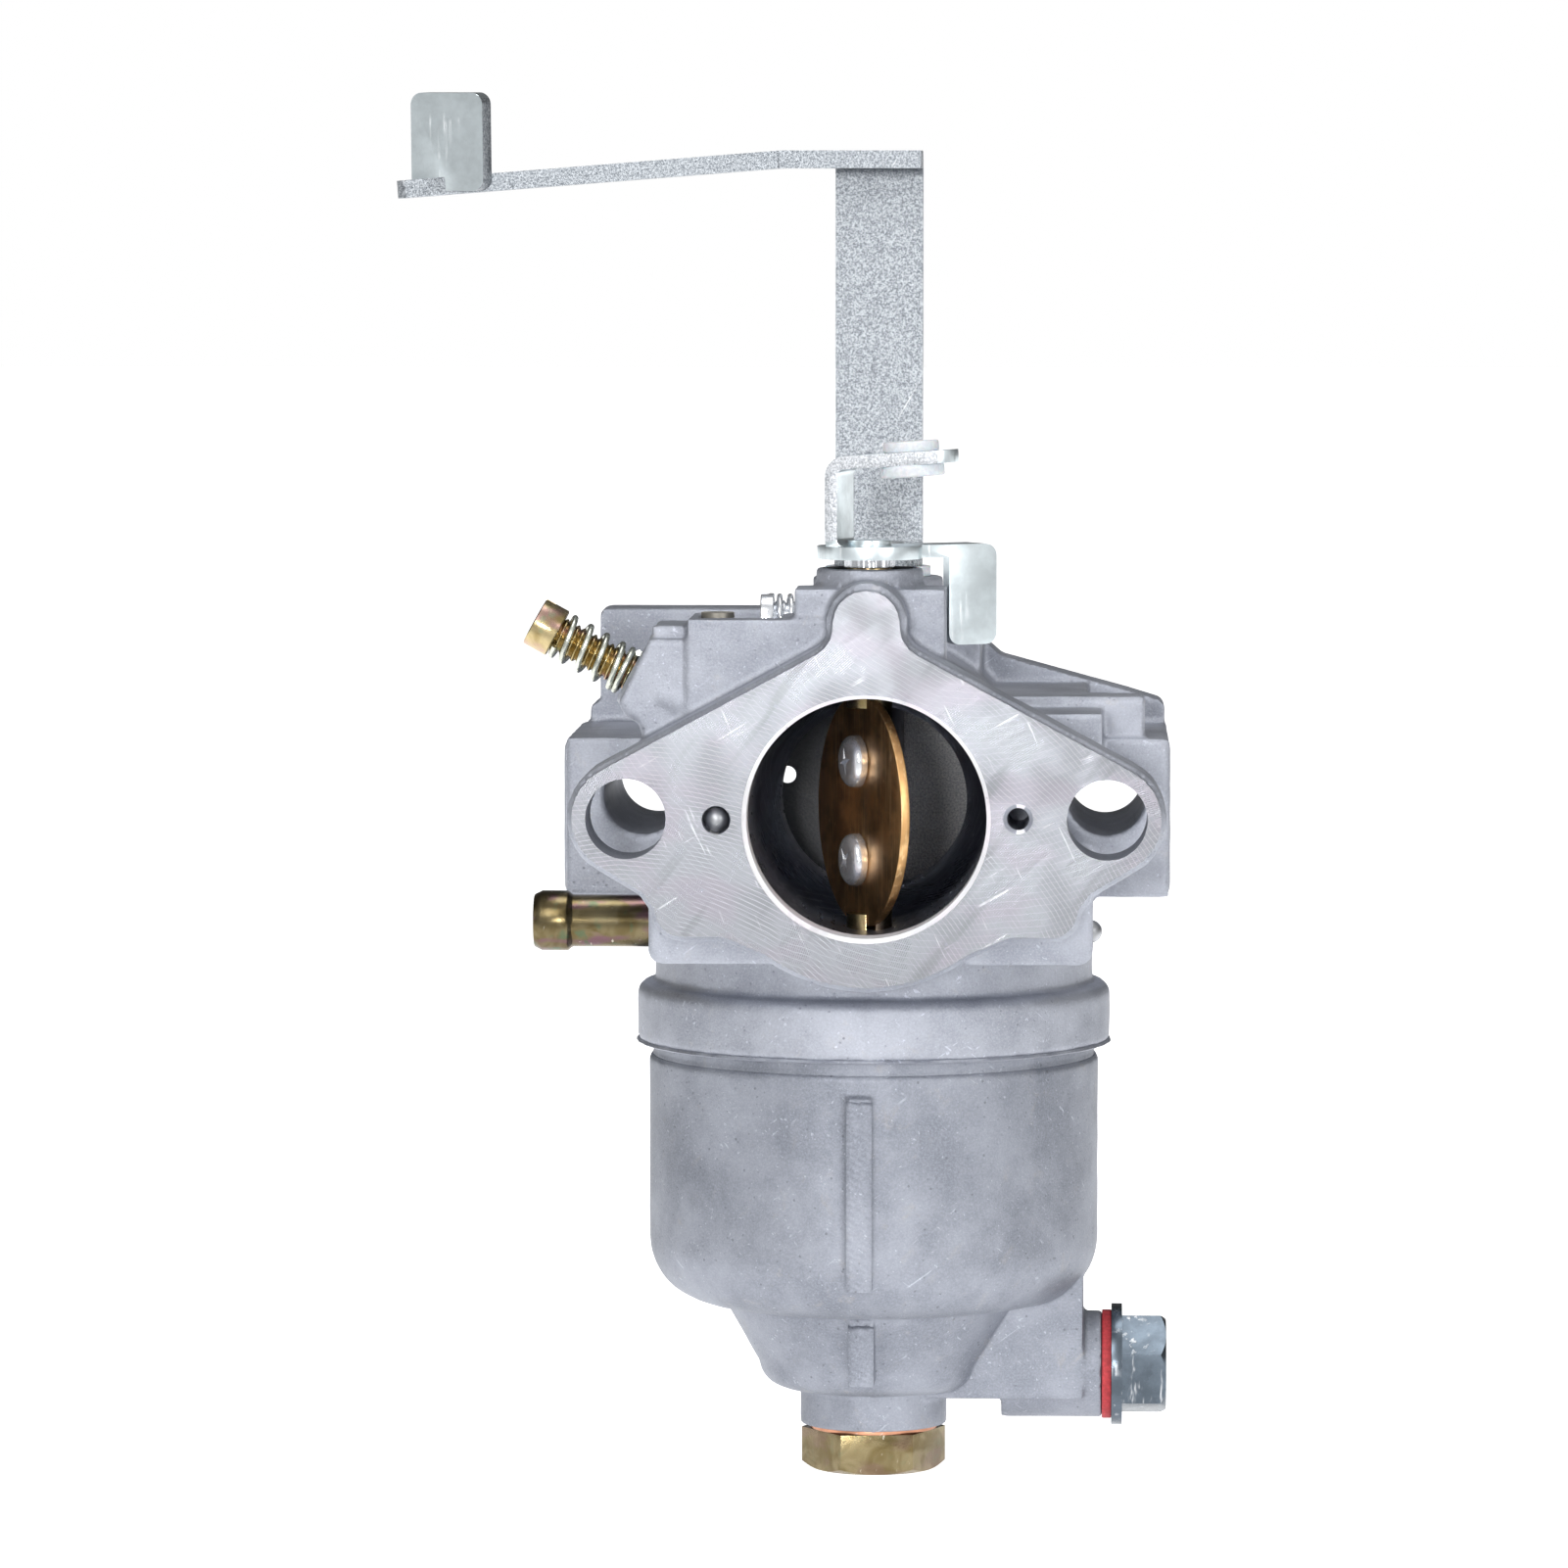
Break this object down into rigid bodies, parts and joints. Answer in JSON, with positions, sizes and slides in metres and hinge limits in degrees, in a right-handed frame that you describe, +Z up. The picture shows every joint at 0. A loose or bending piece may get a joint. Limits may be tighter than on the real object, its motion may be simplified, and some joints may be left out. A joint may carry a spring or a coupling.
{
  "type": "float bowl carburetor",
  "caption": "Side-draught float carburetor with an upright throttle and choke shaft, sheet-metal levers, a float bowl below and stud flanges at both ends.",
  "frame": {"origin": "centre of the bore, midway between the stud holes, on the engine-side flange face", "axes": "+X to the right seen from the engine, +Y along the bore towards the air cleaner, +Z up along the throttle and choke shafts"},
  "size_m": [0.0882, 0.068, 0.1545],
  "materials": {
    "cast_body": "as-cast, machined flange faces",
    "cast_bowl": "matte as-cast",
    "bright_zinc": "bright blue-white zinc plate",
    "speckled_zinc": "speckled zinc plate",
    "yellow_zinc": "yellow chromate over zinc",
    "brass": "machined brass",
    "steel": "bright steel",
    "grey_steel": "dull steel",
    "red_fibre": "pressed red fibre",
    "white_nylon": "natural nylon",
    "black_rubber": "matte rubber",
    "black_plastic": "moulded plastic",
    "copper": "soft copper"
  },
  "bodies": {
    "casting": {"carburetor_body": "cast_body", "float_bowl": "cast_bowl", "bowl_gasket": "black_rubber", "bowl_bolt": "yellow_zinc", "bowl_bolt_washer": "copper", "drain_bolt": "bright_zinc", "drain_washer": "red_fibre", "fuel_inlet_pipe": "yellow_zinc", "throttle_shaft_seal": "black_rubber", "choke_washer": "white_nylon", "pilot_jet": "brass", "main_nozzle": "brass", "main_jet": "brass", "pilot_air_jet": "brass", "main_air_jet": "brass", "needle_seat": "brass", "float_pin": "steel", "flange_plug_ball": "grey_steel", "side_plug_ball": "grey_steel"},
    "throttle": {"throttle_shaft": "yellow_zinc", "throttle_plate": "brass", "throttle_plate_screws": "steel", "throttle_lever": "bright_zinc", "throttle_collar": "steel", "governor_link_bush": "white_nylon"},
    "choke": {"choke_shaft": "grey_steel", "choke_plate": "grey_steel", "choke_plate_screws": "steel", "choke_lever": "speckled_zinc"},
    "pilot_spring": {"pilot_screw_spring": "steel"},
    "pilot_needle": {"pilot_screw": "yellow_zinc"},
    "idle_spring": {"idle_stop_spring": "steel"},
    "idle_screw": {"idle_stop_screw": "steel"},
    "float_arm": {"float": "black_plastic"},
    "inlet_needle": {"float_needle": "black_rubber", "needle_clip": "steel"}
  },
  "joints": [
    {"name": "throttle_turn", "type": "hinge", "parent": "casting", "child": "throttle", "pos_m": [0, 0.0137, 0], "axis": [0, 0, 1], "range_deg": [-22.7, 55]},
    {"name": "choke_turn", "type": "hinge", "parent": "casting", "child": "choke", "pos_m": [0, 0.05, 0], "axis": [0, 0, 1], "range_deg": [-75, 0]},
    {"name": "pilot_travel", "type": "slide", "parent": "casting", "child": "pilot_spring", "axis": [-0.8755, 0, 0.4833], "range_m": [-0.001, 0.001], "deforming": ["pilot_screw_spring"]},
    {"name": "pilot_turn", "type": "hinge", "parent": "pilot_spring", "child": "pilot_needle", "pos_m": [-0.0261, 0.012, 0.015], "axis": [-0.8755, 0, 0.4833], "range_deg": [-725, 725]},
    {"name": "idle_travel", "type": "slide", "parent": "casting", "child": "idle_spring", "axis": [-1, 0, 0], "range_m": [0, 0.0021], "deforming": ["idle_stop_spring"]},
    {"name": "idle_turn", "type": "hinge", "parent": "idle_spring", "child": "idle_screw", "pos_m": [-0.0065, 0.0264, 0.0204], "axis": [-1, 0, 0], "range_deg": [0, 1085]},
    {"name": "float_swing", "type": "hinge", "parent": "casting", "child": "float_arm", "pos_m": [-0.0155, 0.033, -0.0295], "axis": [0, 1, 0], "range_deg": [0, 12]},
    {"name": "needle_lift", "type": "slide", "parent": "casting", "child": "inlet_needle", "axis": [0, 0, -1], "range_m": [0, 0.0009]}
  ],
  "couplings": [
    {"joint": "pilot_turn", "follows": "pilot_travel", "rad_per_m": 12566},
    {"joint": "idle_turn", "follows": "idle_travel", "rad_per_m": 8976},
    {"joint": "needle_lift", "follows": "float_swing", "m_per_rad": 0.004}
  ]
}
